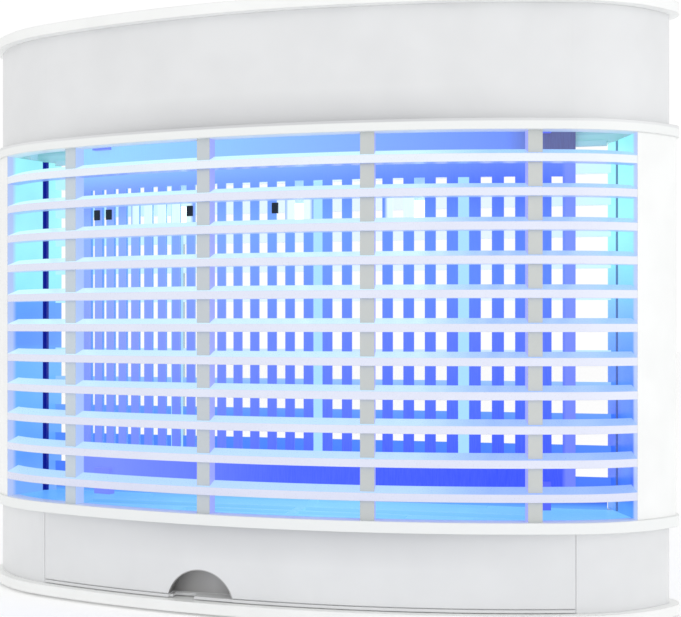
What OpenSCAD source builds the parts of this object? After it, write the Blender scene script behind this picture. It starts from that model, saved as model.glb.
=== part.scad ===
// Electric bug zapper: a bow-fronted cabinet with slatted windows front and back,
// a slotted high-voltage grid inside, and a catch tray that slides out of the base.
// Origin: centre of the footprint on the surface it stands on. +Z up, the front faces -Y.

/* [Cabinet plan] */
// Depth from the crown of the front to the flat back
cabinet_d = 70; // [66:1:80]
// Radius of the bowed front
front_r = 375; // [360:5:400]
// Half the width that the bowed front spans
front_half_w = 119.5; // [117:0.5:121]
// Radius of the rounded ends
end_r = 74; // [72:1:78]
// Radius of the rear corners
corner_r = 12; // [10:1:13]

/* [Cabinet heights] */
// Thickness of the lid, the flanges and the bottom plate
lip_t = 4.7; // [4:0.1:6]
// Height of the base wall between bottom plate and flange
base_wall_h = 33.3; // [30:0.1:40]
// Height of the top wall between flange and lid
top_wall_h = 48.1; // [44:0.1:60]
// How far the lips stand out from the walls
lip_overhang = 4; // [3:0.5:5]
// Wall thickness of the plastic shells
wall = 2.2; // [2:0.1:2.6]

/* [Windows] */
// Number of slats in each window
slat_count = 11; // [9:1:12]
// Height from one slat to the next
slat_pitch = 14; // [13:0.5:16]
// Height of a slat's front face
slat_face_h = 3.4; // [3:0.1:4]
// Height of a slat at its back
slat_h = 5.8; // [5:0.1:6.5]
// Depth of a slat from front to back
slat_d = 6.5; // [5:0.5:8]
// Clear height under the lowest slat
gap_under = 8.2; // [7:0.1:9]
// Clear height over the highest slat
gap_over = 7.3; // [6:0.1:9]
// Width of a vertical bar
bar_w = 6; // [5:0.5:8]
// Distance of the front's inner vertical bars from the middle
inner_bar_x = 36; // [30:1:45]
// Distance of the front's outer vertical bars from the middle
outer_bar_x = 104; // [95:1:110]
// Distance between the vertical bars of the back
rear_bar_pitch = 69; // [60:1:70]
// Half the width of the rear window
rear_half_w = 131.2; // [128:0.2:132]

/* [Grid] */
// Radius of the bowed grid plate
plate_r = 408; // [380:1:440]
// Distance from the crown of the front back to the grid plate
plate_inset = 41.6; // [38:0.1:43]
// Half the width of the grid plate
plate_half_w = 118; // [116:0.5:119]
// Thickness of the grid plate
plate_t = 1.2; // [1:0.1:1.5]
// Number of slots in the grid plate
slot_count = 27; // [25:1:27]
// Distance of the leftmost slot from the middle
slot_start = 109.9; // [108:0.1:111]
// Distance from the leftmost slot to the second one
slot_pitch = 6.77; // [6.5:0.01:6.9]
// How much wider each slot spacing is than the one to its left
slot_growth = 0.136; // [0:0.001:0.16]
// Share of the slot spacing that is open
slot_open = 0.5; // [0.4:0.01:0.55]
// Diameter of a rod of the rear electrode
rod_d = 1.4; // [1:0.1:1.8]

/* [Catch tray] */
// Height of the tray's side walls
tray_wall_h = 22; // [16:1:24]
// How far the tray slides out
tray_travel = 60; // [40:1:60]
// Radius of the finger notch in the tray's front
notch_r = 15.3; // [12:0.1:16]
// Distance of the notch to the left of the middle
notch_x = 38; // [30:1:60]

/* [Hanging bail] */
// Diameter of the bail's wire
bail_d = 4; // [3:0.5:4.5]
// Distance between the bail's two arms
bail_w = 80; // [60:5:90]
// Length of the bail's arms
bail_l = 30; // [26:1:34]

/* [Hidden] */

$fn = 96;
overlap = 0.01;
seam_step = 0.02;
far = 400;

// Heights of the stacked sections, from the table up
foot_proud = 1.2;
foot_seat = 1.5;
foot_r = 7;
foot_x = 122;
plate_z = foot_proud;
base_z = plate_z + lip_t;
base_flange_z = base_z + base_wall_h;
window_z = base_flange_z + lip_t;
window_h = slat_count * slat_pitch + gap_over;
top_flange_z = window_z + window_h;
top_z = top_flange_z + lip_t;
lid_z = top_z + top_wall_h;
lid_top_z = lid_z + lip_t;

// Plan: front arc, end arc and rear corner arc run into each other without a kink.
// Angles are measured from the forward direction, -Y.
front_y = -cabinet_d / 2;
back_y = cabinet_d / 2;
front_cy = front_y + front_r;
front_a = asin(front_half_w / front_r);
end_cx = (front_r - end_r) * sin(front_a);
end_cy = front_cy - (front_r - end_r) * cos(front_a);
end_a = acos((end_cy + corner_r - back_y) / (end_r - corner_r));
corner_cx = end_cx + (end_r - corner_r) * sin(end_a);
corner_cy = end_cy - (end_r - corner_r) * cos(end_a);

// Shell offsets from the outline of the lips
wall_in = lip_overhang + wall;
deck_in = 8;
grille_in = 1;
post_wall = 2.4;
deck_t = 2.5;
floor_z = window_z - deck_t;
ceiling_z = top_flange_z + 12;
rear_lip_h = 1.6;
rear_lip_t = 2;

// The window ends where the end arc has turned this far
window_a = 41;
window_end_x = end_cx + (end_r - grille_in) * sin(window_a);
window_end_y = end_cy - (end_r - grille_in) * cos(window_a);
rear_slat_d = 4;
rear_inner_y = back_y - grille_in - rear_slat_d;
lap = 1.2;
side_dx = window_end_x - rear_half_w;
side_dy = back_y - window_end_y;
seam_y = 23;
seam_w = 2.4;
post_screw_x = 143.2;
post_screw_y = 17;
post_boss_h = 12;

// Grid plate and its slots
plate_y = front_y + plate_inset;
plate_cy = plate_y + plate_r;
plate_a = asin(plate_half_w / plate_r);
plate_z0 = window_z + 9.4;
plate_z1 = ceiling_z;
slot_z0 = window_z + 21.4;
slot_z1 = window_z + 146.4;
rod_r = plate_r - plate_t - 3;
rail_h = 6;
rail_d = 3.4;
rail_z0 = plate_z0 + 3;
rail_z1 = slot_z1 + 7;
rod_count = slot_count + 1;
insulator_w = 9;
clip_w = 2.9;
clip_h = 4.8;
clip_t = 1;
clip_z = slot_z1 - 12.2;

// Light sources behind the grid plate
led_count = 3;
led_pitch = 56;
led_shift = -8;
led_y = plate_y + 12;
led_z = slot_z1 - 13;
strip_l = 150;
strip_z = slot_z1 + 1.5;
strip_h = 9;
strip_t = 1.6;
tongue_w = 9;

// Catch tray
tray_floor_t = 1.3;
tray_z = base_z + 0.3;
tray_half_w = front_half_w - 0.3;
panel_half_a = asin(tray_half_w / (front_r - lip_overhang));
panel_top_z = base_flange_z - 0.3;
tray_body_half_w = 112;
tray_back_y = 27;
tray_wall = 1.6;
notch_drop = 2.3;
pocket_d = 9;
reveal_z = tray_z + tray_floor_t;
reveal_h = 0.4;
reveal_d = 0.8;
notch_z = base_z - notch_drop;
runner_gap = 0.6;
runner_w = 1.6;
runner_h = 12;
runner_l = 34;
runner_y = -8;

// Strips of the base wall that cover the gap behind the edges of the tray's panel
jamb_in_x = 117;
jamb_out_x = 121.5;
jamb_t = 2.5;
jamb_gap = 0.3;

// Bail on the lid
bail_y = -4;
pivot_z = lid_top_z + bail_d / 2 + 0.3;
pivot_clear = 0.05;
bracket_l = 12;
bracket_h = 5.6;

// Mains fittings on the back of the top housing
inlet_x = 70;
inlet_w = 24;
inlet_h = 16;
switch_x = 36;
switch_w = 13;
switch_h = 19;
fitting_z = top_z + 24;
vent_count = 12;
vent_x = -50;
vent_pitch = 5.5;
vent_w = 2.5;
vent_h = 22;
rear_wall_y = back_y - lip_overhang;
rocker_y = rear_wall_y - 1;
rocker_tilt = 7;
rocker_pin_r = 1;
board_x = 0;
board_y = -14;
board_z = ceiling_z + deck_t + 4;
board_t = 1.6;
module_x = -70;
lead_r = 0.9;
lead_bend = 6;

screw_r = 1.5;
head_r = 2.9;

// ---------- shared shapes ----------

// Outline of the cabinet, moved inwards by inset. Each arc lies a hair inside the one
// that it takes over from, so that the regions overlap cleanly.
module plan(inset) {
    front_x = (front_r - inset) * sin(front_a);
    rear_y = back_y - inset;
    intersection() {
        translate([0, front_cy]) circle(r = front_r - inset, $fn = 720);
        translate([-front_x, front_y - 1]) square([2 * front_x, rear_y - front_y + 1]);
    }
    for (side = [0, 1])
        mirror([side, 0]) {
            intersection() {
                translate([end_cx, end_cy]) circle(r = end_r - inset - seam_step, $fn = 360);
                polygon([[front_x - 1, rear_y], [front_x - 1, -far], [2 * far, -far],
                         [corner_cx + far * sin(end_a), corner_cy - far * cos(end_a)],
                         [corner_cx, corner_cy], [corner_cx, rear_y]]);
            }
            translate([corner_cx, corner_cy]) circle(r = corner_r - inset - 2 * seam_step);
        }
}

// A closed ring that follows the outline, between two insets
module ring(outer, inner, height) {
    linear_extrude(height = height)
        difference() {
            plan(outer);
            plan(inner);
        }
}

// A stretch of a section swept about a vertical axis, both angles measured from -Y
module arc_sweep(cx, cy, from_a, to_a, turn_r) {
    translate([cx, cy, 0])
        rotate([0, 0, from_a - 90])
            rotate_extrude(angle = to_a - from_a, $fn = turn_r > 100 ? 720 : 360)
                children();
}

// Section of a slat: upright face, top rising towards the back
module slat_section(face_r) {
    polygon([[face_r - slat_d, 0], [face_r, 0], [face_r, slat_face_h],
             [face_r - slat_d, slat_h]]);
}

// A countersunk or pan-head screw, its head up
module screw(length) {
    translate([0, 0, -length]) cylinder(r = screw_r, h = length + overlap, $fn = 24);
    cylinder(r = head_r, h = 1.4, $fn = 32);
}

// ---------- base ----------

module bottom_plate() {
    color("white") {
        translate([0, 0, plate_z])
            difference() {
                linear_extrude(height = lip_t) plan(0);
                foot_places() cylinder(r = foot_r, h = foot_seat + overlap);
                screw_places() {
                    translate([0, 0, -1]) cylinder(r = screw_r + 0.2, h = lip_t + 2);
                    translate([0, 0, -1]) cylinder(r = head_r + 0.3, h = 3);
                }
            }
        for (side = [-1, 1])
            translate([side * (tray_body_half_w + runner_gap + runner_w / 2) - runner_w / 2,
                       runner_y, base_z - overlap])
                cube([runner_w, runner_l, runner_h]);
    }
}

module foot_places() {
    for (x = [-foot_x, foot_x], y = [-2, 22]) translate([x, y, -overlap]) children();
}

module screw_places() {
    for (x = [-138, 138], y = [4.6, 25.6]) translate([x, y, 0]) children();
}

module rubber_feet() {
    color("dimgray")
        translate([0, 0, overlap])
            foot_places() cylinder(r = foot_r, h = foot_proud + foot_seat);
}

module base_housing() {
    color("gainsboro") {
        difference() {
            union() {
                translate([0, 0, base_z]) ring(lip_overhang, wall_in, base_wall_h + overlap);
                translate([0, 0, base_flange_z]) ring(0, deck_in, lip_t);
            }
            translate([-front_half_w, front_y - 1, base_z - 1])
                cube([2 * front_half_w, 40, base_wall_h + 1]);
        }
        screw_places() translate([0, 0, base_z]) screw_boss(base_wall_h + 0.5);
        for (side = [0, 1]) mirror([side, 0, 0]) tray_jamb();
        top_jamb();
    }
}

// Upright strip behind the panel's end, joined to the wall beside the tray
module tray_jamb() {
    back_r = front_r - wall_in - jamb_gap;
    translate([0, 0, base_z])
        linear_extrude(height = base_wall_h + 1)
            intersection() {
                translate([0, front_cy]) difference() {
                    circle(r = back_r + 1.2, $fn = 720);
                    circle(r = back_r - jamb_t, $fn = 720);
                }
                union() {
                    translate([front_half_w + 0.2, front_y])
                        square([jamb_out_x - front_half_w - 0.2, 40]);
                    intersection() {
                        translate([jamb_in_x, front_y]) square([jamb_out_x - jamb_in_x, 40]);
                        translate([0, front_cy]) circle(r = back_r, $fn = 720);
                    }
                }
            }
}

// Strip under the flange, behind the panel's top edge
module top_jamb() {
    back_r = front_r - wall_in - jamb_gap;
    jamb_a = asin(jamb_in_x / front_r) + 0.2;
    arc_sweep(0, front_cy, -jamb_a, jamb_a, front_r)
        translate([back_r - jamb_t, base_flange_z - 1]) square([jamb_t, 1 + 2 * overlap]);
}

// A post with a blind hole for a screw from below
module screw_boss(height) {
    difference() {
        cylinder(r = 3.6, h = height);
        translate([0, 0, -1]) cylinder(r = screw_r, h = height - 1);
    }
}

module catch_tray() {
    face_r = front_r - lip_overhang;
    color("whitesmoke")
        difference() {
            union() {
                difference() {
                    arc_sweep(0, front_cy, -panel_half_a, panel_half_a, front_r)
                        translate([face_r - wall, tray_z]) square([wall, panel_top_z - tray_z]);
                    translate([-notch_x, front_y, notch_z]) rotate([-90, 0, 0])
                        cylinder(r = notch_r, h = 30);
                }
                translate([0, 0, seam_step]) tray_body();
                notch_pocket();
            }
            arc_sweep(0, front_cy, -panel_half_a - 1, panel_half_a + 1, front_r)
                translate([face_r - reveal_d, reveal_z]) square([reveal_d + 1, reveal_h]);
            translate([-notch_x - notch_r + 2, front_y, tray_z - 1])
                cube([notch_r - 5, lip_overhang + pocket_d, tray_floor_t + 2]);
        }
}

// Floor and walls of the tray, behind its front panel
module tray_body() {
    inner_r = front_r - wall_in;
    translate([0, 0, tray_z])
        difference() {
            linear_extrude(height = tray_wall_h)
                intersection() {
                    translate([0, front_cy]) circle(r = inner_r + wall / 2, $fn = 720);
                    translate([-tray_body_half_w, front_y])
                        square([2 * tray_body_half_w, tray_back_y - front_y]);
                }
            translate([0, 0, tray_floor_t])
                linear_extrude(height = tray_wall_h)
                    intersection() {
                        translate([0, front_cy]) circle(r = inner_r - 0.3, $fn = 720);
                        translate([-tray_body_half_w + tray_wall, front_y])
                            square([2 * (tray_body_half_w - tray_wall),
                                    tray_back_y - tray_wall - front_y]);
                    }
            translate([0, 0, tray_floor_t])
                intersection() {
                    translate([-notch_x, front_y, notch_z - tray_z - tray_floor_t])
                        rotate([-90, 0, 0]) cylinder(r = notch_r + 1, h = 12);
                    translate([-notch_x - 20, front_y - 1, 0]) cube([40, 14, 20]);
                }
        }
    translate([0, 0, tray_z])
        linear_extrude(height = tray_floor_t)
            intersection() {
                translate([0, front_cy]) circle(r = inner_r + wall - 0.3, $fn = 720);
                translate([-notch_x - 3, front_y])
                    square([notch_r + 6, tray_back_y - front_y - 10]);
            }
}

// Half-round cup behind the notch, so that a finger can't reach the grid
module notch_pocket() {
    intersection() {
        translate([-notch_x, front_y + lip_overhang + 1, notch_z]) rotate([-90, 0, 0])
            difference() {
                cylinder(r = notch_r + 1.7, h = pocket_d + 1.4);
                translate([0, 0, -1]) cylinder(r = notch_r + 0.3, h = pocket_d + 1);
            }
        translate([0, 0, tray_z])
            linear_extrude(height = tray_wall_h + 10)
                intersection() {
                    translate([0, front_cy]) circle(r = front_r - wall_in + 0.5, $fn = 720);
                    translate([-far / 2, front_y]) square([far, cabinet_d]);
                }
    }
}

// Each row of drop slots: front edge, depth, and where the slots end at the sides
drop_rows = [[-21.5, 8.5, 50], [-10, 10, 100], [19, 7, 80]];
drop_rib = 4;

module chamber_floor() {
    color("white")
        translate([0, 0, floor_z])
            difference() {
                linear_extrude(height = deck_t) plan(deck_in);
                for (row = drop_rows, side = [0, 1])
                    mirror([side, 0, 0]) translate([drop_rib / 2, row[0], -1])
                        cube([row[2] - drop_rib / 2, row[1], deck_t + 2]);
                post_screw_places() translate([0, 0, -1]) cylinder(r = screw_r + 0.2, h = 9);
            }
}

// ---------- windows ----------

// Places its children at every slat row
module slat_rows() {
    for (row = [0 : slat_count - 1])
        translate([0, 0, window_z + gap_under + row * slat_pitch]) children();
}

module front_slats() {
    face_r = front_r - grille_in;
    color("ivory")
        difference() {
            slat_rows() {
                arc_sweep(0, front_cy, -front_a, front_a, front_r) slat_section(face_r);
                for (side = [0, 1]) mirror([side, 0, 0])
                    difference() {
                        arc_sweep(end_cx, end_cy, front_a - 1, window_a + 4, end_r)
                            slat_section(end_r - grille_in - seam_step);
                        translate([0, 0, -1]) linear_extrude(height = slat_h + 2) outboard(0);
                    }
            }
            front_bar_shapes();
        }
}

// Upright bars that the slats cross on the outside
module front_bar_shapes() {
    bar_r = front_r - grille_in - lap;
    for (x = [-outer_bar_x, -inner_bar_x, inner_bar_x, outer_bar_x])
        translate([0, front_cy, window_z]) rotate([0, 0, asin(x / front_r)])
            translate([-bar_w / 2, -bar_r, 0]) cube([bar_w, slat_d - lap + 0.5, window_h]);
}

module front_bars() {
    color("beige") front_bar_shapes();
}

module rear_slats() {
    color("ivory")
        difference() {
            slat_rows()
                translate([-window_end_x, 0, 0]) rotate([90, 0, 90])
                    linear_extrude(height = 2 * window_end_x)
                        polygon([[rear_inner_y, 0], [rear_inner_y + rear_slat_d, 0],
                                 [rear_inner_y + rear_slat_d, slat_face_h],
                                 [rear_inner_y, slat_h]]);
            for (side = [0, 1]) mirror([side, 0, 0])
                translate([0, 0, window_z]) linear_extrude(height = window_h) outboard(0);
            rear_bar_shapes();
        }
}

module rear_bar_shapes() {
    for (place = [-1, 0, 1])
        translate([place * rear_bar_pitch - bar_w / 2, rear_inner_y - 0.5, window_z])
            cube([bar_w, rear_slat_d + 0.5 - lap, window_h]);
}

module rear_bars() {
    color("beige") rear_bar_shapes();
}

// Region outboard of the window, moved outwards by shift
module outboard(shift) {
    polygon([[window_end_x + shift, window_end_y],
             [window_end_x + shift, front_y - 5],
             [far, front_y - 5],
             [far, back_y + 5],
             [window_end_x + shift - side_dx * (side_dy + 5) / side_dy, back_y + 5]]);
}

// One hollow end post: round outside, flat inside, with a seam groove in the flat
module end_post() {
    groove_x = window_end_x - side_dx * (seam_y - window_end_y) / side_dy;
    difference() {
        translate([0, 0, window_z])
            linear_extrude(height = window_h)
                difference() {
                    intersection() {
                        plan(grille_in);
                        outboard(0);
                    }
                    intersection() {
                        plan(grille_in + post_wall);
                        outboard(post_wall);
                    }
                }
        translate([groove_x - 1, seam_y - seam_w / 2, window_z - 1])
            cube([2, seam_w, window_h + 2]);
    }
    for (z = [window_z, top_flange_z - post_boss_h])
        translate([post_screw_x, post_screw_y, z])
            difference() {
                cylinder(r = 3.6, h = post_boss_h);
                translate([0, 0, -1]) cylinder(r = screw_r, h = post_boss_h + 2);
            }
}

module post_screw_places() {
    for (side = [-1, 1]) translate([side * post_screw_x, post_screw_y, 0]) children();
}

module left_end_post() {
    color("white") mirror([1, 0, 0]) end_post();
}

module right_end_post() {
    color("white") end_post();
}

// ---------- top ----------

module top_housing() {
    color("gainsboro") {
        difference() {
            union() {
                translate([0, 0, top_flange_z]) ring(0, deck_in, lip_t);
                for (side = [-1, 1])
                    translate([side * (post_screw_x + 3) - 8, post_screw_y - 4, top_flange_z])
                        cube([16, 8, lip_t]);
            }
            post_screw_places() translate([0, 0, top_flange_z - 1])
                cylinder(r = screw_r + 0.2, h = lip_t + 2);
        }
        difference() {
            translate([0, 0, top_z - overlap]) ring(lip_overhang, wall_in, top_wall_h + overlap);
            translate([inlet_x - inlet_w / 2, back_y - 12, fitting_z - inlet_h / 2])
                cube([inlet_w, 12, inlet_h]);
            translate([switch_x - switch_w / 2, back_y - 12, fitting_z - switch_h / 2])
                cube([switch_w, 12, switch_h]);
            for (i = [0 : vent_count - 1])
                translate([vent_x - i * vent_pitch - vent_w / 2, back_y - 12,
                           fitting_z - vent_h / 2])
                    cube([vent_w, 12, vent_h]);
        }
        translate([-rear_half_w, back_y - deck_in - 1, top_flange_z - rear_lip_h])
            cube([2 * rear_half_w, rear_lip_t, rear_lip_h + 1]);
        lid_screw_places() translate([0, 0, lid_z - 14])
            difference() {
                cylinder(r = 3.6, h = 14);
                translate([0, 0, 1]) cylinder(r = screw_r, h = 14);
            }
    }
}

module lid_screw_places() {
    for (x = [-136, 136], y = [3, 25.8]) translate([x, y, 0]) children();
}

module chamber_ceiling() {
    color("white")
        translate([0, 0, ceiling_z])
            difference() {
                linear_extrude(height = deck_t) plan(wall_in);
                lead_places() translate([0, 0, -1]) cylinder(r = lead_r + 0.5, h = deck_t + 2);
            }
}

module top_lid() {
    color("white")
        difference() {
            union() {
                translate([0, 0, lid_z]) linear_extrude(height = lip_t) plan(0);
                translate([0, 0, lid_z - 3]) ring(wall_in + 0.2, deck_in, 3 + overlap);
            }
            lid_screw_places() {
                translate([0, 0, lid_z - 4]) cylinder(r = screw_r + 0.2, h = 12);
                translate([0, 0, lid_top_z - 1.4]) cylinder(r = head_r + 0.3, h = 3);
                translate([0, 0, lid_z - 4]) cylinder(r = 4, h = 4);
            }
            bracket_screw_places() translate([0, 0, lid_z - 1]) cylinder(r = screw_r, h = 9);
        }
}

// ---------- grid ----------

// Distance of slot i from the middle; half steps give the bars between the slots
function slot_x(i) = -slot_start + i * slot_pitch + i * (i - 1) / 2 * slot_growth;

module grid_plate() {
    color("royalblue")
        difference() {
            arc_sweep(0, plate_cy, -plate_a, plate_a, plate_r)
                translate([plate_r - plate_t, plate_z0]) square([plate_t, plate_z1 - plate_z0]);
            for (i = [0 : slot_count - 1]) {
                slot_w = slot_open * (slot_x(i + 0.5) - slot_x(i - 0.5));
                translate([0, plate_cy, slot_z0]) rotate([0, 0, asin(slot_x(i) / plate_r)])
                    translate([-slot_w / 2, -plate_r - 2, 0])
                        cube([slot_w, 5, slot_z1 - slot_z0]);
            }
        }
}

module grid_rods() {
    color("silver")
        for (i = [0 : rod_count - 1]) {
            turn = asin(slot_x(i - 0.5) / plate_r);
            translate([0, plate_cy, rail_z0 + 2]) rotate([0, 0, turn])
                translate([0, -rod_r, 0])
                    cylinder(d = rod_d, h = rail_z1 - rail_z0 + rail_h - 4, $fn = 16);
        }
}

// A bowed insulating rail that touches the back of the grid plate and holds the rods
module rod_rail(z, hole_from, hole_to) {
    difference() {
        arc_sweep(0, plate_cy, -plate_a, plate_a, plate_r)
            translate([plate_r - plate_t - rail_d - 1.4, z]) square([rail_d + 1.4, rail_h]);
        for (i = [0 : rod_count - 1]) {
            turn = asin(slot_x(i - 0.5) / plate_r);
            translate([0, plate_cy, hole_from]) rotate([0, 0, turn])
                translate([0, -rod_r, 0]) cylinder(d = rod_d, h = hole_to - hole_from, $fn = 16);
        }
    }
}

module upper_rod_rail() {
    color("white") rod_rail(rail_z1, rail_z1 - 1, rail_z1 + rail_h - 2);
}

module lower_rod_rail() {
    color("white") rod_rail(rail_z0, rail_z0 + 2, rail_z0 + rail_h + 1);
}

module grid_insulators() {
    color("white")
        for (side = [-1, 1]) {
            turn = side * (plate_a - 2.2);
            translate([0, plate_cy, 0]) rotate([0, 0, turn]) {
                translate([-insulator_w / 2, -plate_r - 1.8, window_z])
                    difference() {
                        cube([insulator_w, plate_t + 3, plate_z0 - window_z + 3]);
                        translate([-1, 1.8, plate_z0 - window_z])
                            cube([insulator_w + 2, plate_t + 0.02, 4]);
                        translate([-1, 1.8 + plate_t, plate_z0 - window_z + 2.98])
                            cube([insulator_w + 2, 4, 4]);
                    }
                translate([-insulator_w / 2, -plate_r - 3.2, ceiling_z - 8])
                    cube([insulator_w, 3.2, 8]);
            }
        }
}

// Small black clips on the bars of the grid plate, level with the light sources
module grid_clips() {
    color("black")
        for (i = [0.5, 1.5, 7.5, 12.7])
            translate([0, plate_cy, clip_z]) rotate([0, 0, asin(slot_x(i) / plate_r)])
                translate([-clip_w / 2, -plate_r - clip_t, -clip_h / 2])
                    cube([clip_w, clip_t, clip_h]);
}

module grid_screws() {
    color("silver")
        for (side = [-1, 1]) {
            turn = side * (plate_a - 2.2);
            translate([0, plate_cy, ceiling_z - 4]) rotate([0, 0, turn])
                translate([0, -plate_r - 3.2, 0]) rotate([90, 0, 0])
                    cylinder(r = 2, h = 1.2, $fn = 24);
        }
}

// ---------- light sources ----------

module led_strip() {
    hanger_w = 6;
    color("silver")
        translate([led_shift, led_y + 4, 0]) {
            translate([-strip_l / 2, 0, strip_z]) cube([strip_l, strip_t, strip_h]);
            for (side = [-1, 1])
                translate([side * (strip_l / 2 - hanger_w) - hanger_w / 2, 0, strip_z])
                    cube([hanger_w, strip_t, ceiling_z - strip_z]);
            led_places() translate([-tongue_w / 2, 0, led_z - 6])
                cube([tongue_w, strip_t, strip_z - led_z + 7]);
        }
}

module led_places() {
    for (i = [0 : led_count - 1])
        translate([(i - (led_count - 1) / 2) * led_pitch, 0, 0]) children();
}

module uv_leds() {
    color("aqua")
        translate([led_shift, led_y + 4, led_z])
            led_places() {
                translate([-4, -1.4, -4]) cube([8, 1.4, 8]);
                rotate([90, 0, 0]) cylinder(r = 3.4, h = 3.6);
            }
}

// ---------- electrics ----------

module high_voltage_module() {
    color("dimgray")
        translate([module_x, -10, ceiling_z + deck_t]) {
            cube([56, 30, 22]);
            translate([6, 4, 22 - overlap]) cube([44, 22, 2]);
        }
}

module control_board() {
    color("darkgreen") {
        translate([board_x, board_y, board_z]) cube([84, 28, board_t]);
        for (x = [4, 80], y = [4, 24])
            translate([board_x + x, board_y + y, board_z - 4]) cylinder(r = 2.2, h = 4 + overlap);
    }
}

module board_components() {
    color("black")
        translate([board_x, board_y, board_z + board_t]) {
            translate([10, 12, 0]) cylinder(r = 5, h = 16);
            translate([20, 4, 0]) cube([16, 18, 14]);
            for (x = [43, 52]) translate([x, 9, 0]) cylinder(r = 3.4, h = 11);
            translate([60, 6, 0]) cube([18, 7, 9]);
        }
}

// Where the two leads of the grid pass through the ceiling
module lead_places() {
    for (place = [[-40, plate_r - plate_t - lead_r - 0.05], [-60, rod_r]]) {
        turn = asin(place[0] / plate_r);
        translate([0, plate_cy, 0]) rotate([0, 0, turn]) translate([0, -place[1], 0]) children();
    }
}

// From the high-voltage module down to the grid plate's back and to the upper rail
module grid_leads() {
    color("firebrick")
        lead_places() translate([0, 0, rail_z1 + rail_h])
            cylinder(r = lead_r, h = ceiling_z + deck_t - rail_z1 - rail_h, $fn = 24);
}

// From the inlet and the switch down to the board
module mains_leads() {
    color("saddlebrown")
        for (x = [inlet_x - 3, inlet_x + 3, switch_x - 2.5, switch_x + 2.5])
            translate([x, rear_wall_y - 14, fitting_z - lead_bend]) {
                rotate([0, -90, 0]) rotate([0, 0, -90])
                    rotate_extrude(angle = 90, $fn = 64)
                        translate([lead_bend, 0]) circle(r = lead_r, $fn = 24);
                translate([0, -lead_bend, board_z + board_t + lead_bend - fitting_z])
                    cylinder(r = lead_r, h = fitting_z - board_z - board_t - lead_bend, $fn = 24);
            }
}

// Recessed two-pin inlet in the back wall
module mains_inlet() {
    color("black")
        translate([inlet_x, 0, fitting_z])
            difference() {
                union() {
                    translate([-inlet_w / 2 + 0.1, rear_wall_y - 14, -inlet_h / 2 + 0.1])
                        cube([inlet_w - 0.2, 14, inlet_h - 0.2]);
                    translate([-inlet_w / 2 - 2, rear_wall_y, -inlet_h / 2 - 2])
                        cube([inlet_w + 4, 2, inlet_h + 4]);
                }
                translate([-8, rear_wall_y - 10, -4.5]) cube([16, 20, 9]);
            }
    color("silver")
        for (side = [-1, 1])
            translate([inlet_x + side * 4.3, rear_wall_y - 12, fitting_z]) rotate([-90, 0, 0])
                cylinder(r = 1.2, h = 10, $fn = 24);
}

module switch_bezel() {
    color("black")
        translate([switch_x, 0, fitting_z])
            difference() {
                union() {
                    translate([-switch_w / 2 + 0.1, rear_wall_y - 14, -switch_h / 2 + 0.1])
                        cube([switch_w - 0.2, 14, switch_h - 0.2]);
                    translate([-switch_w / 2 - 1.6, rear_wall_y, -switch_h / 2 - 1.6])
                        cube([switch_w + 3.2, 1.6, switch_h + 3.2]);
                }
                translate([-switch_w / 2 + 1.6, rear_wall_y - 11, -switch_h / 2 + 1.4])
                    cube([switch_w - 3.2, 30, switch_h - 2.8]);
                translate([-switch_w / 2 + 0.4, rocker_y, 0])
                    rotate([0, 90, 0])
                        cylinder(r = rocker_pin_r + pivot_clear, h = switch_w - 0.8, $fn = 32);
            }
}

// Rocker that tips about two stub pins in the bezel; its face is two shallow wings
module rocker_switch() {
    rocker_w = switch_w - 4;
    color("black")
        translate([switch_x, rocker_y, fitting_z]) {
            rotate([-rocker_tilt, 0, 0]) translate([-rocker_w / 2, 0, 0]) rotate([90, 0, 90])
                linear_extrude(height = rocker_w)
                    polygon([[-5, -3], [-5, 3], [1.2, 7], [2.6, 6.6], [1.4, 0],
                             [2.6, -6.6], [1.2, -7]]);
            translate([-rocker_w / 2 - 1.2, 0, 0]) rotate([0, 90, 0])
                cylinder(r = rocker_pin_r, h = rocker_w + 2.4, $fn = 32);
        }
}

// ---------- bail ----------

module hanging_bail() {
    half = bail_w / 2;
    bend = 8;
    color("silver")
        translate([0, bail_y, pivot_z]) {
            for (side = [0, 1]) mirror([side, 0, 0]) {
                translate([half, 0, 0]) rotate([-90, 0, 0])
                    cylinder(d = bail_d, h = bail_l - bend, $fn = 32);
                translate([half - bend, bail_l - bend, 0])
                    rotate_extrude(angle = 90, $fn = 64)
                        translate([bend, 0]) circle(d = bail_d, $fn = 32);
                translate([half, 0, 0]) sphere(d = bail_d, $fn = 32);
                translate([half - bracket_l, 0, 0]) rotate([0, 90, 0])
                    cylinder(d = bail_d - 1, h = bracket_l, $fn = 32);
            }
            translate([-half + bend - overlap, bail_l, 0]) rotate([0, 90, 0])
                cylinder(d = bail_d, h = 2 * (half - bend + overlap), $fn = 32);
        }
}

module bail_brackets() {
    eye = bail_d - 1 + 2 * pivot_clear;
    inner = bail_w / 2 - bracket_l - 3;
    color("silver")
        for (side = [0, 1]) mirror([side, 0, 0])
            difference() {
                union() {
                    translate([inner, bail_y - 4, lid_top_z])
                        cube([bracket_l - 1, 8, bracket_h]);
                    translate([inner - 9, bail_y - 4, lid_top_z]) cube([9.5, 8, 1.6]);
                }
                translate([inner + 2.9, bail_y, pivot_z]) rotate([0, 90, 0])
                    cylinder(d = eye, h = bracket_l + 5, $fn = 32);
                translate([inner - 4.5, bail_y, lid_top_z - 1])
                    cylinder(r = screw_r + 0.2, h = 6, $fn = 24);
            }
}

module bracket_screw_places() {
    for (side = [-1, 1])
        translate([side * (bail_w / 2 - bracket_l - 7.5), bail_y, 0]) children();
}

module bracket_screws() {
    color("silver")
        bracket_screw_places() translate([0, 0, lid_top_z + 1.6]) screw(5.5);
}

// ---------- screws ----------

module lid_screws() {
    color("silver")
        lid_screw_places() translate([0, 0, lid_top_z - 1.4]) screw(12);
}

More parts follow.
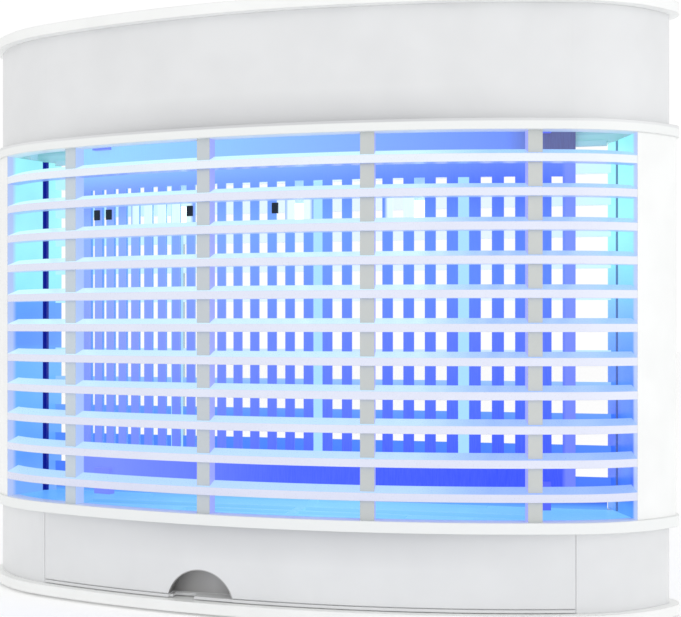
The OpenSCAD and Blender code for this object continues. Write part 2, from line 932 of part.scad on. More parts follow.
module base_screws() {
    color("silver")
        screw_places() translate([0, 0, plate_z + 2]) rotate([180, 0, 0]) screw(12);
}

module post_screws() {
    color("silver")
        post_screw_places() translate([0, 0, floor_z]) rotate([180, 0, 0]) screw(11);
}

bottom_plate();
rubber_feet();
base_housing();
catch_tray();
chamber_floor();
front_slats();
front_bars();
rear_slats();
rear_bars();
left_end_post();
right_end_post();
top_housing();
chamber_ceiling();
top_lid();
grid_plate();
grid_rods();
upper_rod_rail();
lower_rod_rail();
grid_insulators();
led_strip();
uv_leds();
high_voltage_module();
control_board();
board_components();
grid_leads();
mains_leads();
mains_inlet();
switch_bezel();
rocker_switch();
hanging_bail();
bail_brackets();
bracket_screws();
lid_screws();
base_screws();
post_screws();
grid_screws();
grid_clips();
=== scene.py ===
import math

import bpy
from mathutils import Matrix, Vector


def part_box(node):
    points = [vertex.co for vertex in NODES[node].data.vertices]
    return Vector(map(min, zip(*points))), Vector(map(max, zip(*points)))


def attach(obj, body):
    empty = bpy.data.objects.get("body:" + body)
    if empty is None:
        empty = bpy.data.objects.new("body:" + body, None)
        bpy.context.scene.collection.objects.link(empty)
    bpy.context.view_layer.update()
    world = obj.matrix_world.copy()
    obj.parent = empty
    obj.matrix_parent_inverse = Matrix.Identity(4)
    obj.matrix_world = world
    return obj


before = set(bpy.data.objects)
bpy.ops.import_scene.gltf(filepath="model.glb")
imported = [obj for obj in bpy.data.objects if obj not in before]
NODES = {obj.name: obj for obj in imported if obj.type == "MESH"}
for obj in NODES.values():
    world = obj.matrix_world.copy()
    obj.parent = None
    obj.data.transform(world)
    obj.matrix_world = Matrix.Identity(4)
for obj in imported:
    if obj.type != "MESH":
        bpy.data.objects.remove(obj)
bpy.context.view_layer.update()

MM = 0.001

# ---------------------------------------------------------------- camera and stage
IMAGE_W, IMAGE_H = 681, 617
FOCAL_PX = 1287.0
CENTRE_PX = (260.0, 326.0)  # where the optical axis meets the picture
CAMERA_PLACE = Vector((0.1375, -0.5573, 0.1246))
CAMERA_TURN = math.radians(15.7)
SENSOR_W = 36.0
WORLD_LIGHT = 0.88  # what the white surroundings give the part
WORLD_SEEN = 1.02  # how bright they look to the camera
STAGE_SIZE = 12.0
STAGE_GLOW = 0.15


def make_camera():
    data = bpy.data.cameras.new("camera")
    data.sensor_fit = "HORIZONTAL"
    data.sensor_width = SENSOR_W
    data.lens = FOCAL_PX / IMAGE_W * SENSOR_W
    data.shift_x = (IMAGE_W / 2 - CENTRE_PX[0]) / IMAGE_W
    data.shift_y = (CENTRE_PX[1] - IMAGE_H / 2) / IMAGE_W
    data.clip_start = 0.01
    camera = bpy.data.objects.new("camera", data)
    camera.location = CAMERA_PLACE
    camera.rotation_euler = (math.pi / 2, 0, CAMERA_TURN)
    bpy.context.scene.collection.objects.link(camera)
    bpy.context.scene.camera = camera


def area_light(name, place, target, size, power, color):
    data = bpy.data.lights.new(name, "AREA")
    data.shape = "RECTANGLE"
    data.size, data.size_y = size
    data.energy = power
    data.color = color
    light = bpy.data.objects.new(name, data)
    light.location = place
    light.rotation_euler = (Vector(target) - Vector(place)).to_track_quat("-Z", "Y").to_euler()
    light.visible_camera = False
    bpy.context.scene.collection.objects.link(light)


def make_stage():
    world = bpy.data.worlds.new("studio")
    bpy.context.scene.world = world
    world.use_nodes = True
    tree = world.node_tree
    background = tree.nodes["Background"]
    background.inputs["Color"].default_value = (1.0, 1.0, 1.0, 1.0)
    seen = node(tree, "ShaderNodeLightPath").outputs["Is Camera Ray"]
    strength = ramp_between(tree, seen, WORLD_LIGHT, WORLD_SEEN)
    tree.links.new(strength, background.inputs["Strength"])
    bpy.ops.mesh.primitive_plane_add(size=STAGE_SIZE, location=(0, 0, 0))
    floor = bpy.context.object
    floor.name = "stage_floor"
    mat, tree, bsdf = new_material("stage_white")
    bsdf.inputs["Base Color"].default_value = (0.93, 0.93, 0.93, 1)
    bsdf.inputs["Roughness"].default_value = 0.8
    glow(tree, bsdf, (1.0, 1.0, 1.0, 1.0), STAGE_GLOW)
    floor.data.materials.append(mat)
    bpy.context.scene.view_settings.view_transform = "Standard"
    area_light("key", (-0.9, -1.3, 1.1), (0, 0, 0.15), (0.9, 0.9), 2.0, (1.0, 0.98, 0.95))
    area_light("fill_right", (1.2, -0.5, 0.5), (0, 0, 0.13), (0.8, 0.8), 2.2, (0.97, 0.98, 1.0))


# ---------------------------------------------------------------- material helpers
PLASTIC_IOR = 1.49
SMALL_EDGE = 0.3 * MM  # rounding of thin pieces' edges
LAMP_SHARE = 0.82  # how much of a lit surface's colour it gives off itself
BODY_DARKNESS = 0.75  # how far its own colour goes to black, as the lamps' light is painted
GRID_DARKNESS = 0.65  # the same for the grid plate's metal
BLACK = (0.0, 0.0, 0.0, 1.0)


def srgb(red, green, blue):
    """Linear colour of an 8-bit display colour."""
    linear = []
    for channel in (red, green, blue):
        c = channel / 255
        linear.append(c / 12.92 if c <= 0.04045 else ((c + 0.055) / 1.055) ** 2.4)
    return (*linear, 1.0)


def new_material(name):
    mat = bpy.data.materials.new(name)
    mat.use_nodes = True
    tree = mat.node_tree
    return mat, tree, tree.nodes["Principled BSDF"]


def node(tree, kind, inputs=None, **settings):
    made = tree.nodes.new(kind)
    for key, value in settings.items():
        setattr(made, key, value)
    for key, value in (inputs or {}).items():
        if isinstance(value, bpy.types.NodeSocket):
            tree.links.new(value, made.inputs[key])
        else:
            made.inputs[key].default_value = value
    return made


def maths(tree, operation, a, b=0.0):
    return node(tree, "ShaderNodeMath", {0: a, 1: b}, operation=operation).outputs[0]


def product(tree, first, *others):
    """All the values multiplied together."""
    for other in others:
        first = maths(tree, "MULTIPLY", first, other)
    return first


def ramp(tree, value, low, high):
    """0 where value is at or under low, 1 at or over high, straight between."""
    return node(tree, "ShaderNodeMapRange", {"Value": value, "From Min": low, "From Max": high},
                clamp=True).outputs["Result"]


def ramp_between(tree, value, at_zero, at_one):
    """at_zero where value is 0, at_one where it is 1."""
    return node(tree, "ShaderNodeMapRange", {"Value": value, "To Min": at_zero,
                                             "To Max": at_one}).outputs["Result"]


def tones(tree, value, stops):
    """Colour that runs through the stops, each a place in millimetres and 8-bit colour."""
    low, high = stops[0][0], stops[-1][0]
    made = node(tree, "ShaderNodeValToRGB", {"Fac": ramp(tree, value, low * MM, high * MM)})
    elements = made.color_ramp.elements
    elements[0].color = srgb(*stops[0][1])
    elements[1].color = srgb(*stops[-1][1])
    for place, color in stops[1:-1]:
        elements.new((place - low) / (high - low)).color = srgb(*color)
    return made.outputs["Color"]


def mix(tree, factor, a, b):
    """Colour a where factor is 0, colour b where it is 1."""
    made = node(tree, "ShaderNodeMix", data_type="RGBA")
    for socket, value in ((made.inputs[0], factor), (made.inputs[6], a), (made.inputs[7], b)):
        if isinstance(value, bpy.types.NodeSocket):
            tree.links.new(value, socket)
        else:
            socket.default_value = value
    return made.outputs[2]


def position(tree):
    """The surface point, its X, Y and Z in metres, and its normal's X, Y and Z."""
    coords = node(tree, "ShaderNodeTexCoord")
    place = node(tree, "ShaderNodeSeparateXYZ", {0: coords.outputs["Object"]})
    normal = node(tree, "ShaderNodeSeparateXYZ", {0: coords.outputs["Normal"]})
    return coords.outputs["Object"], place.outputs, normal.outputs


def noise(tree, vector, scale, detail=3.0, roughness=0.55):
    return node(tree, "ShaderNodeTexNoise", {"Vector": vector, "Scale": scale, "Detail": detail,
                                             "Roughness": roughness}).outputs["Fac"]


def band_mask(tree, value, low, high, soft=0.2 * MM):
    """1 between low and high, 0 outside, with soft edges."""
    rising = ramp(tree, value, low - soft, low + soft)
    falling = ramp(tree, value, high + soft, high - soft)
    return product(tree, rising, falling)


def moulded(name, color, dark, roughness, grain=1400.0, grain_depth=0.03 * MM,
            edge=0.45 * MM):
    """Injection-moulded plastic: faint flow mottling, spark-eroded grain and rounded edges.

    Gives the material, its tree and shader, the surface colour, and what position() gives,
    in the order place, normal, point.
    """
    mat, tree, bsdf = new_material(name)
    point, place, normal = position(tree)
    flow = noise(tree, point, 38.0, 2.0)
    surface = mix(tree, ramp(tree, flow, 0.35, 0.65), dark, color)
    tree.links.new(surface, bsdf.inputs["Base Color"])
    fine = noise(tree, point, grain, 2.0)
    rough = node(tree, "ShaderNodeMapRange", {"Value": fine, "From Min": 0.3, "From Max": 0.7,
                                              "To Min": roughness - 0.05,
                                              "To Max": roughness + 0.06})
    tree.links.new(rough.outputs["Result"], bsdf.inputs["Roughness"])
    rounded = node(tree, "ShaderNodeBevel", {"Radius": edge}, samples=4)
    bump = node(tree, "ShaderNodeBump", {"Strength": 0.35, "Distance": grain_depth,
                                         "Height": fine, "Normal": rounded.outputs[0]})
    tree.links.new(bump.outputs[0], bsdf.inputs["Normal"])
    bsdf.inputs["IOR"].default_value = PLASTIC_IOR
    return mat, tree, bsdf, surface, place, normal, point


def relink(tree, socket, new_source):
    for link in list(socket.links):
        tree.links.remove(link)
    tree.links.new(new_source, socket)


def glow(tree, bsdf, color, strength):
    """Light that the surface gives off; color and strength are constants or sockets."""
    for key, value in (("Emission Color", color), ("Emission Strength", strength)):
        if isinstance(value, bpy.types.NodeSocket):
            tree.links.new(value, bsdf.inputs[key])
        else:
            bsdf.inputs[key].default_value = value


def add_bump(tree, bsdf, height, strength, distance):
    bump = node(tree, "ShaderNodeBump", {"Strength": strength, "Distance": distance,
                                         "Height": height})
    tree.links.new(bump.outputs[0], bsdf.inputs["Normal"])


def paint(tree, bsdf, surface, mask, lit):
    """Show the surface colour where mask is 0 and the lamp-lit colour where it is 1."""
    body = mix(tree, BODY_DARKNESS, lit, BLACK)
    relink(tree, bsdf.inputs["Base Color"], mix(tree, mask, surface, body))
    glow(tree, bsdf, lit, product(tree, mask, LAMP_SHARE))


# ---------------------------------------------------------------- landmarks
TOP_BAND_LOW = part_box("top_housing")[0][2]
BASE_BAND_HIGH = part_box("base_housing")[1][2]
POST_INNER_X, POST_FRONT_Y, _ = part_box("right_end_post")[0]
FLOOR_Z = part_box("chamber_floor")[1][2]
FLANGE_T = 4.7 * MM
LIP_MARGIN = 0.4 * MM  # how far the lip's colour goes past its edges
BASE_LIP_LOW = BASE_BAND_HIGH - FLANGE_T

# The shade beside a lip: how far it reaches, and where along the wall it fades and is full
SHADE_REACH, SHADE_END_X, SHADE_FULL_X, SHADE_DEPTH = 16.0 * MM, 125.0 * MM, 50.0 * MM, 0.9

# The strips of the base behind the tray's upright seams
JAMB_X = (116.5 * MM, 119.6 * MM)
JAMB_BACK_Y, JAMB_FRONT_Y = 6.0 * MM, 4.0 * MM
# Painted light: how strongly the jamb strips glow, lifting the shade in the tray's seams
JAMB_PAINTED_LIGHT = 0.28

NOTCH_X, NOTCH_Z, NOTCH_R = -38.0 * MM, 3.6 * MM, 15.3 * MM
NOTCH_SILL_Z = 7.6 * MM

# The seam down each end post's inner wall; the left one looks wider, with shadow behind it
SEAM_Y = 23.0 * MM
SEAM_HALF = 1.3 * MM
SEAM_SHADOW = 2.6 * MM
SEAM_WALL_X = (143.5 * MM, 142.5 * MM)  # past these the outer wall starts, which stays white

# Painted shadow on the grid plate's top right corner
CORNER_SHADOW_X, CORNER_SHADOW_Z = (88.0 * MM, 106.0 * MM), (195.5 * MM, 198.5 * MM)  # grid plate's dark corner
GLARE_Z = (170.5 * MM, 186.0 * MM)
# Stretches of the grid plate, in millimetres across, that the lamps behind it wash out
GLARE = ((-86.8, -54.9, srgb(228, 252, 250)), (-8.5, 3.0, srgb(238, 254, 251)),
         (36.7, 52.0, srgb(236, 253, 250)))

WHITE = srgb(245, 246, 245)
WHITE_DARK = srgb(241, 242, 241)
BAND = srgb(228, 229, 230)
BAND_DARK = srgb(224, 225, 226)
BAND_SHADE = srgb(203, 204, 206)
LIP = srgb(238, 240, 239)
# Painted shade in the end posts' seams
SEAM_PAINTED_SHADE = srgb(4, 20, 140)


# ---------------------------------------------------------------- materials
def shell_material():
    mat, *_ = moulded("shell_white", WHITE, WHITE_DARK, roughness=0.34)
    return mat


def shade_band(tree, place, surface, lip_z, direction):
    """Soft shade on the middle of a band next to its lip; direction is +1 above, -1 below."""
    away = product(tree, maths(tree, "SUBTRACT", place["Z"], lip_z), direction)
    near = ramp(tree, away, SHADE_REACH, 0.0)
    middle = ramp(tree, maths(tree, "ABSOLUTE", place["X"]), SHADE_END_X, SHADE_FULL_X)
    return mix(tree, product(tree, near, middle, SHADE_DEPTH), surface, BAND_SHADE)


def housing_material(name, lip_low, lip_high, direction):
    """Light grey wall, softly shaded beside a whiter lip between two heights."""
    mat, tree, bsdf, surface, place, *_ = moulded(name, BAND, BAND_DARK, 0.4)
    shaded = shade_band(tree, place, surface, lip_high if direction > 0 else lip_low, direction)
    lip = band_mask(tree, place["Z"], lip_low - LIP_MARGIN, lip_high + LIP_MARGIN)
    relink(tree, bsdf.inputs["Base Color"], mix(tree, lip, shaded, LIP))
    return mat, tree, bsdf, place


def base_material():
    """The base's wall; the strips behind the tray's seams get a painted glow that lifts the
    shade in the seams.
    """
    mat, tree, bsdf, place = housing_material("base_grey", BASE_LIP_LOW, BASE_BAND_HIGH, -1)
    jamb = band_mask(tree, maths(tree, "ABSOLUTE", place["X"]), *JAMB_X)
    low = band_mask(tree, place["Z"], 0.0, BASE_LIP_LOW - 0.2 * MM)
    front = ramp(tree, place["Y"], JAMB_BACK_Y, JAMB_FRONT_Y)
    glow(tree, bsdf, BAND, product(tree, jamb, low, front, JAMB_PAINTED_LIGHT))
    return mat


def tray_material():
    """The tray: like the base's wall, with painted shade in the hollow behind the finger notch,
    darker to the left.
    """
    mat, tree, bsdf, surface, place, *_ = moulded("tray_grey", BAND, BAND_DARK, 0.4)
    shaded = shade_band(tree, place, surface, BASE_LIP_LOW, -1)
    across = maths(tree, "SUBTRACT", place["X"], NOTCH_X)
    up = maths(tree, "SUBTRACT", place["Z"], NOTCH_Z)
    squares = maths(tree, "ADD", product(tree, across, across), product(tree, up, up))
    reach = maths(tree, "SQRT", squares)
    # Painted shade inside the finger notch, darker towards its left side
    notch_shade = product(tree, ramp(tree, reach, NOTCH_R + 0.6 * MM, NOTCH_R + 0.3 * MM),
                  ramp(tree, place["Z"], NOTCH_SILL_Z, NOTCH_SILL_Z + 0.4 * MM))
    dark = tones(tree, place["X"], ((-53, (120, 119, 118)), (-44, (160, 159, 158)),
                                    (-34, (186, 186, 186)), (-23, (172, 172, 172))))
    relink(tree, bsdf.inputs["Base Color"], mix(tree, notch_shade, shaded, dark))
    return mat


def slat_material():
    """White slats with painted lamp light: a cyan slope above the face on the low slats and
    lilac undersides; the cool face has painted shade at the lowest slat and a painted highlight
    at the top.
    """
    mat, tree, bsdf, surface, place, normal, _ = moulded(
        "slat_white", srgb(230, 233, 247), srgb(224, 227, 243), roughness=0.3, edge=SMALL_EDGE)
    # Painted shade on the lowest slat's face and painted lamp light on the top slats' faces
    face = tones(tree, place["Z"], ((52, (214, 218, 243)), (62, (226, 230, 247)),
                                    (184, (228, 232, 248)), (192, (240, 250, 253))))
    left = tones(tree, place["Z"], ((52, (182, 216, 253)), (124, (206, 236, 252))))
    right = tones(tree, place["Z"], ((52, (152, 184, 254)), (124, (163, 195, 246))))
    # Painted lamp light on the slopes, cyan on the left and bluer on the right
    slope_light = mix(tree, ramp(tree, place["X"], 55.0 * MM, 85.0 * MM), left, right)
    under_light = tones(tree, place["Z"], ((124, (170, 190, 240)), (178, (141, 168, 218)),
                                           (192, (120, 148, 220))))
    slope = ramp(tree, normal["Z"], 0.5, 0.8)
    under = ramp(tree, normal["Z"], -0.5, -0.8)
    inward = ramp(tree, normal["Y"], 0.2, 0.6)
    lit = mix(tree, under, slope_light, under_light)
    lit = mix(tree, inward, lit, srgb(150, 205, 252))
    mask = maths(tree, "MAXIMUM", slope, maths(tree, "MAXIMUM", under, inward))
    paint(tree, bsdf, mix(tree, 0.5, surface, face), mask, lit)
    return mat


def rear_slat_material():
    """The back window's slats: white outside, washed out by the lamps on the inside."""
    mat, tree, bsdf, surface, place, normal, _ = moulded(
        "rear_slat_white", WHITE, WHITE_DARK, roughness=0.34, edge=SMALL_EDGE)
    inside = ramp(tree, normal["Y"], 0.3, -0.6)
    across = tones(tree, place["X"], ((-120, (190, 245, 252)), (-40, (238, 253, 254)),
                                      (90, (244, 254, 254)), (130, (214, 252, 248))))
    low = tones(tree, place["Z"], ((52, (72, 122, 246)), (80, (88, 148, 248)),
                                   (122, (190, 236, 253))))
    lit = mix(tree, ramp(tree, place["Z"], 96.0 * MM, 126.0 * MM), low, across)
    paint(tree, bsdf, surface, inside, lit)
    return mat


def bar_material():
    """Cool grey uprights whose flanks catch lilac light from the chamber."""
    mat, tree, bsdf, surface, place, normal, _ = moulded(
        "bar_grey", srgb(203, 206, 205), srgb(195, 199, 199), 0.45, edge=SMALL_EDGE)
    face = tones(tree, place["X"], ((-104, (199, 214, 226)), (-36, (196, 204, 210)),
                                    (36, (197, 201, 199)), (104, (202, 205, 200))))
    flank = ramp(tree, maths(tree, "ABSOLUTE", normal["X"]), 0.5, 0.8)
    lit = tones(tree, place["X"], ((-104, (176, 200, 244)), (-36, (160, 168, 240)),
                                   (104, (164, 168, 238))))
    paint(tree, bsdf, mix(tree, 0.6, surface, face), flank, lit)
    return mat


def rear_bar_material():
    """The back window's uprights: grey outside, with painted pale cyan lamp light on the lamps'
    side.
    """
    mat, tree, bsdf, surface, _, normal, _ = moulded(
        "rear_bar_white", srgb(205, 203, 196), srgb(197, 196, 190), 0.45, edge=SMALL_EDGE)
    paint(tree, bsdf, surface, ramp(tree, normal["Y"], 0.3, -0.6), srgb(182, 234, 250))
    return mat


def post_material():
    """White end posts; the flat inner wall carries painted lamp light, cyan above and blue
    below, with painted navy shade in its seam.
    """
    mat, tree, bsdf, surface, place, normal, point = moulded(
        "post_white", WHITE, WHITE_DARK, roughness=0.34)
    side = maths(tree, "SIGN", place["X"])
    inner = ramp(tree, product(tree, normal["X"], side, -1.0), 0.5, 0.7)
    right = tones(tree, place["Z"], (
        (48, (72, 140, 240)), (55, (32, 84, 236)), (76, (40, 94, 240)), (104, (56, 126, 246)),
        (118, (80, 154, 250)), (132, (108, 188, 253)), (146, (126, 222, 253)),
        (163, (150, 248, 252)), (202, (160, 252, 251))))
    left = tones(tree, place["Z"], (
        (48, (122, 174, 248)), (62, (97, 160, 246)), (90, (112, 183, 251)),
        (108, (116, 186, 249)), (116, (102, 155, 250)), (136, (97, 160, 252)),
        (142, (156, 244, 251)), (174, (171, 249, 252)), (202, (168, 250, 249))))
    on_right = ramp(tree, place["X"], -10.0 * MM, 10.0 * MM)
    lit = mix(tree, on_right, left, right)
    shade = product(tree, ramp(tree, noise(tree, point, 34.0, 2.0), 0.45, 0.8), 0.35)
    lit = mix(tree, shade, lit, srgb(120, 190, 252))
    edge = ramp(tree, place["Y"], POST_FRONT_Y + 5.5 * MM, POST_FRONT_Y + 3.0 * MM)
    lit = mix(tree, edge, lit, srgb(182, 200, 240))
    # Painted navy shade in the seam's groove and, on the left post, the shadow behind it
    groove = band_mask(tree, place["Y"], SEAM_Y - SEAM_HALF, SEAM_Y + SEAM_HALF)
    shadow = product(tree, band_mask(tree, place["Y"], SEAM_Y, SEAM_Y + SEAM_SHADOW),
                     maths(tree, "SUBTRACT", 1.0, on_right))
    within = ramp(tree, maths(tree, "ABSOLUTE", place["X"]), *SEAM_WALL_X)
    seam = product(tree, maths(tree, "MAXIMUM", groove, shadow), within)
    lit = mix(tree, seam, lit, SEAM_PAINTED_SHADE)
    paint(tree, bsdf, surface, maths(tree, "MAXIMUM", inner, seam), lit)
    return mat


def grid_material():
    """Brushed metal lit by the lamps: pale at the top left, deep blue at the lower right."""
    mat, tree, bsdf = new_material("grid_blue_metal")
    point, place, _ = position(tree)
    stretched = node(tree, "ShaderNodeMapping", {"Vector": point, "Scale": (1.0, 1.0, 0.06)})
    brushed = noise(tree, stretched.outputs[0], 2600.0, 3.0)
    left = tones(tree, place["Z"], (
        (60, (124, 142, 253)), (90, (128, 149, 243)), (118, (140, 156, 232)),
        (146, (142, 167, 236)), (174, (141, 173, 240)), (187, (122, 146, 250)),
        (203, (159, 212, 251))))
    middle = tones(tree, place["Z"], (
        (60, (73, 97, 254)), (90, (96, 119, 249)), (118, (101, 128, 249)),
        (146, (109, 148, 251)), (174, (113, 161, 248)), (187, (103, 146, 249)),
        (203, (144, 184, 246))))
    right = tones(tree, place["Z"], (
        (60, (55, 79, 251)), (90, (72, 102, 246)), (118, (87, 113, 247)), (146, (89, 130, 247)),
        (174, (90, 125, 249)), (187, (76, 107, 253)), (203, (118, 145, 246))))
    lit = mix(tree, ramp(tree, place["X"], -100.0 * MM, -7.0 * MM), left, middle)
    lit = mix(tree, ramp(tree, place["X"], -7.0 * MM, 85.0 * MM), lit, right)
    end = band_mask(tree, place["X"], 113.0 * MM, 120.0 * MM, 1.0 * MM)
    lit = mix(tree, product(tree, end, 0.6), lit, srgb(140, 152, 246))
    # Painted shadow on the plate's top right corner
    corner_shadow = product(tree, ramp(tree, place["X"], *CORNER_SHADOW_X), ramp(tree, place["Z"], *CORNER_SHADOW_Z))
    lit = mix(tree, corner_shadow, lit, srgb(98, 96, 142))
    glare_row = band_mask(tree, place["Z"], *GLARE_Z, soft=1.0 * MM)
    for low, high, color in GLARE:
        across = band_mask(tree, place["X"], low * MM, high * MM, 0.8 * MM)
        lit = mix(tree, product(tree, across, glare_row), lit, color)
    streak = product(tree, ramp(tree, brushed, 0.3, 0.7), 0.10)
    lit = mix(tree, streak, lit, srgb(150, 170, 255))
    bsdf.inputs["Metallic"].default_value = 0.35
    rough = node(tree, "ShaderNodeMapRange", {"Value": brushed, "To Min": 0.35, "To Max": 0.55})
    tree.links.new(rough.outputs["Result"], bsdf.inputs["Roughness"])
    add_bump(tree, bsdf, brushed, 0.2, 0.02 * MM)
    tree.links.new(mix(tree, GRID_DARKNESS, lit, BLACK), bsdf.inputs["Base Color"])
    glow(tree, bsdf, lit, LAMP_SHARE)
    return mat


def lit_plastic(name, color, stops):
    """White plastic inside the chamber, lit by the lamps; the tint changes across it."""
    mat, tree, bsdf, surface, place, _, point = moulded(name, color, color, 0.4)
    lit = tones(tree, place["X"], stops)
    cloud = product(tree, ramp(tree, noise(tree, point, 26.0, 2.0), 0.45, 0.8), 0.3)
    lit = mix(tree, cloud, lit, color)
    paint(tree, bsdf, surface, 1.0, lit)
    return mat


def metal(name, color, roughness, lay=(1.0, 1.0, 0.08), glow_color=None, glow_strength=0.0):
    """Steel or aluminium with fine drawn scratches, which run where lay is small."""
    mat, tree, bsdf = new_material(name)
    point, *_ = position(tree)
    stretched = node(tree, "ShaderNodeMapping", {"Vector": point, "Scale": lay})
    scratches = noise(tree, stretched.outputs[0], 3800.0, 4.0)
    patina = noise(tree, point, 160.0, 2.0)
    darker = tuple(c * 0.78 for c in color[:3]) + (1.0,)
    tree.links.new(mix(tree, ramp(tree, patina, 0.35, 0.75), color, darker),
                   bsdf.inputs["Base Color"])
    rough = node(tree, "ShaderNodeMapRange", {"Value": scratches, "To Min": roughness - 0.08,
                                              "To Max": roughness + 0.12})
    tree.links.new(rough.outputs["Result"], bsdf.inputs["Roughness"])
    add_bump(tree, bsdf, scratches, 0.3, 0.01 * MM)
    bsdf.inputs["Metallic"].default_value = 1.0
    # Painted lamp light: the metal glows in glow_color, though it is no lamp
    if glow_color:
        glow(tree, bsdf, glow_color, glow_strength)
    return mat


def dark_material(name, color, roughness, grain=1600.0, depth=0.06 * MM):
    """Rubber, potting compound or coloured plastic with a fine texture."""
    lighter = tuple(min(1.0, c * 1.5 + 0.004) for c in color[:3]) + (1.0,)
    mat, *_ = moulded(name, color, lighter, roughness, grain, depth, SMALL_EDGE)
    return mat


def led_material():
    mat, tree, bsdf = new_material("led_glass")
    point, *_ = position(tree)
    speckle = noise(tree, point, 900.0, 2.0)
    color = mix(tree, speckle, srgb(200, 244, 255), srgb(255, 255, 250))
    tree.links.new(color, bsdf.inputs["Base Color"])
    bsdf.inputs["Roughness"].default_value = 0.15
    glow(tree, bsdf, color, 1.6)
    return mat


def board_material():
    """Solder mask with copper tracks that show as a slightly lighter pattern."""
    mat, tree, bsdf = new_material("board_green")
    point, *_ = position(tree)
    tracks = node(tree, "ShaderNodeTexBrick", {"Vector": point, "Scale": 90.0,
                                               "Mortar Size": 0.035,
                                               "Color1": (0.010, 0.085, 0.030, 1),
                                               "Color2": (0.012, 0.095, 0.035, 1),
                                               "Mortar": (0.030, 0.180, 0.070, 1)})
    tree.links.new(tracks.outputs["Color"], bsdf.inputs["Base Color"])
    add_bump(tree, bsdf, tracks.outputs["Fac"], 0.3, 0.03 * MM)
    bsdf.inputs["Roughness"].default_value = 0.3
    return mat


def assign(material, *names):
    for name in names:
        mesh = NODES[name].data
        mesh.materials.clear()
        mesh.materials.append(material)


def dress_nodes():
    assign(shell_material(), "top_lid", "bottom_plate")
    assign(housing_material("top_grey", TOP_BAND_LOW, TOP_BAND_LOW + FLANGE_T, 1)[0],
           "top_housing")
    assign(base_material(), "base_housing")
    assign(tray_material(), "catch_tray")
    assign(slat_material(), "front_slats")
    assign(rear_slat_material(), "rear_slats")
    assign(bar_material(), "front_bars")
    assign(rear_bar_material(), "rear_bars")
    assign(post_material(), "left_end_post", "right_end_post")
    assign(grid_material(), "grid_plate")
    assign(lit_plastic("floor_lit", srgb(140, 205, 250), (
        (-130, (98, 168, 246)), (-40, (134, 206, 250)), (20, (144, 216, 253)),
        (130, (118, 190, 250)))), "chamber_floor")
    assign(lit_plastic("ceiling_lit", srgb(190, 250, 252), (
        (-120, (150, 246, 252)), (120, (164, 252, 252)))), "chamber_ceiling")
    assign(lit_plastic("rail_lit", srgb(225, 240, 250), (
        (-110, (160, 200, 250)), (110, (130, 160, 248)))), "upper_rod_rail", "lower_rod_rail")
    assign(lit_plastic("insulator_lit", srgb(120, 140, 250), (
        (-110, (126, 140, 250)), (110, (88, 100, 246)))), "grid_insulators")
    assign(dark_material("clip_black", srgb(12, 16, 30), 0.5), "grid_clips")
    # The rods and the LED strip glow with painted lamp light
    assign(metal("rod_steel", srgb(150, 175, 235), 0.25, glow_color=srgb(120, 190, 250),
                 glow_strength=0.35), "grid_rods")
    assign(metal("strip_alu", srgb(215, 222, 232), 0.3, (0.08, 1, 1),
                 glow_color=srgb(190, 235, 255), glow_strength=0.5), "led_strip")
    assign(led_material(), "uv_leds")
    assign(metal("bright_steel", srgb(196, 198, 202), 0.22, (0.1, 1, 1)), "hanging_bail",
           "bail_brackets")
    assign(metal("screw_steel", srgb(188, 190, 194), 0.3, (1, 1, 1)), "bracket_screws",
           "lid_screws", "base_screws", "post_screws", "grid_screws")
    assign(dark_material("foot_rubber", srgb(34, 34, 35), 0.75), "rubber_feet")
    assign(dark_material("potting_black", srgb(30, 30, 33), 0.5), "high_voltage_module")
    assign(board_material(), "control_board")
    assign(dark_material("component_black", srgb(26, 27, 34), 0.35), "board_components")
    assign(dark_material("lead_red", srgb(170, 28, 22), 0.45, 700.0), "grid_leads")
    assign(dark_material("lead_brown", srgb(96, 52, 26), 0.45, 700.0), "mains_leads")
    assign(dark_material("fitting_black", srgb(28, 28, 29), 0.5), "mains_inlet", "switch_bezel")
    assign(dark_material("rocker_black", srgb(18, 18, 19), 0.18, 900.0, 0.01 * MM),
           "rocker_switch")


# ---------------------------------------------------------------- pieces made here
SILL_Y, SILL_TOP = (27.6 * MM, 29.0 * MM), 6.2 * MM
SILL_SINK, SILL_GAP = 0.2 * MM, 0.2 * MM  # down into the base, and short of each end post

HEAD_SPLIT_Y = 14.0 * MM  # between the lid's front and rear screws
HEAD_SKIN = 0.1 * MM  # a vertex this near the top of the screws is on a head
RECESS_ARMS = ((1.7 * MM, 0.32 * MM), (0.32 * MM, 1.7 * MM))  # half sizes of the cross's arms
RECESS_DEPTH, RECESS_PROUD = 0.4 * MM, 0.06 * MM

CHIP_COUNT, CHIP_HALF = 15, 1.4 * MM
CHIP_PROUD, CHIP_SINK, CHIP_ABOVE_LAMPS = 0.7 * MM, 0.1 * MM, 13.5 * MM


def mesh_piece(name, shapes, material, body):
    """Shapes joined as one mesh that rides on a body and takes a material slot's finish."""
    verts, faces = [], []
    for shape_verts, shape_faces in shapes:
        start = len(verts)
        verts += shape_verts
        faces += [tuple(start + index for index in face) for face in shape_faces]
    mesh = bpy.data.meshes.new(name)
    mesh.from_pydata(verts, [], faces)
    mesh.update()
    mesh.materials.append(material)
    piece = bpy.data.objects.new(name, mesh)
    bpy.context.scene.collection.objects.link(piece)
    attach(piece, body)


def block(low, high):
    """Corners and faces of a box, outward facing."""
    verts = [(x, y, z) for z in (low[2], high[2]) for y in (low[1], high[1])
             for x in (low[0], high[0])]
    faces = [(0, 2, 3, 1), (4, 5, 7, 6), (0, 1, 5, 4), (2, 6, 7, 3), (0, 4, 6, 2), (1, 3, 7, 5)]
    return verts, faces


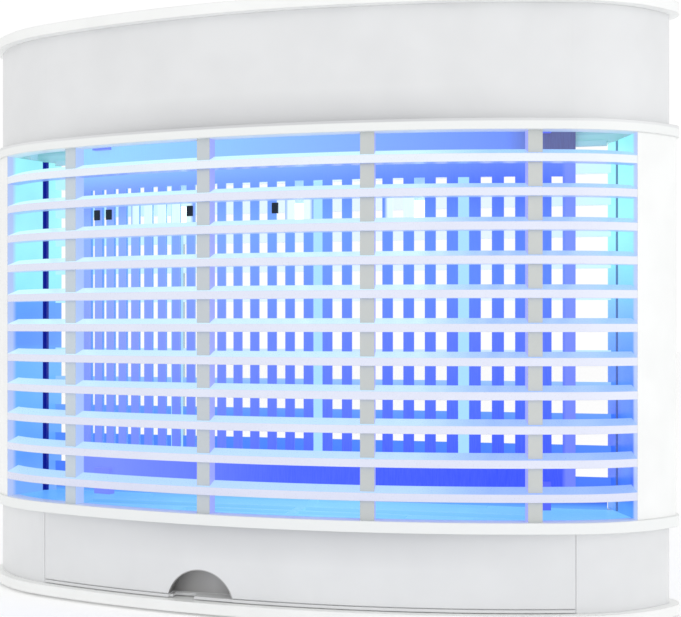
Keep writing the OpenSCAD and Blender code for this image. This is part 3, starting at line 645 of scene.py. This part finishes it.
def rear_sill():
    """Low sill behind the chamber floor, under the lowest slat of the back window."""
    mat, tree, bsdf, surface, place, normal, _ = moulded(
        "sill_lit", WHITE, WHITE_DARK, roughness=0.4)
    # Painted lamp light on the face toward the chamber: blue low, going to painted navy shade
    # along its top
    lit = tones(tree, place["Z"], ((44, (110, 178, 248)), (47, (60, 110, 235)),
                                   (49, (6, 30, 130)), (51, (6, 30, 130))))
    paint(tree, bsdf, surface, ramp(tree, normal["Y"], 0.3, -0.3), lit)
    half = POST_INNER_X - SILL_GAP
    sill = block((-half, SILL_Y[0], FLOOR_Z - SILL_SINK), (half, SILL_Y[1], FLOOR_Z + SILL_TOP))
    mesh_piece("rear_sill", [sill], mat, "cabinet")


def screw_recesses():
    """Dark crosses on the heads of the lid's and the brackets' screws: painted shade of their
    cross recesses.
    """
    mat = dark_material("recess_painted_shade", srgb(70, 72, 76), 0.6)
    shapes = []
    for name in ("lid_screws", "bracket_screws"):
        mesh = NODES[name].data
        place = NODES[name].matrix_world
        points = [place @ vertex.co for vertex in mesh.vertices]
        top = max(point.z for point in points)
        heads = {}
        for point in points:
            if point.z > top - HEAD_SKIN:
                heads.setdefault((point.x > 0, point.y > HEAD_SPLIT_Y), []).append(point)
        for head in heads.values():
            x = sum(point.x for point in head) / len(head)
            y = sum(point.y for point in head) / len(head)
            for half_x, half_y in RECESS_ARMS:
                shapes.append(block((x - half_x, y - half_y, top - RECESS_DEPTH),
                                    (x + half_x, y + half_y, top + RECESS_PROUD)))
    mesh_piece("screw_recesses", shapes, mat, "cabinet")


def led_chips():
    """Small light-emitting chips along the strip that faces the grid plate."""
    low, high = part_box("led_strip")
    front = low[1]
    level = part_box("uv_leds")[1][2] + CHIP_ABOVE_LAMPS
    shapes = []
    for number in range(CHIP_COUNT):
        x = low[0] + (high[0] - low[0]) * (number + 0.5) / CHIP_COUNT
        shapes.append(block((x - CHIP_HALF, front - CHIP_PROUD, level - CHIP_HALF),
                            (x + CHIP_HALF, front + CHIP_SINK, level + CHIP_HALF)))
    mesh_piece("led_chips", shapes, led_material(), "cabinet")


make_camera()
make_stage()
dress_nodes()
rear_sill()
screw_recesses()
led_chips()
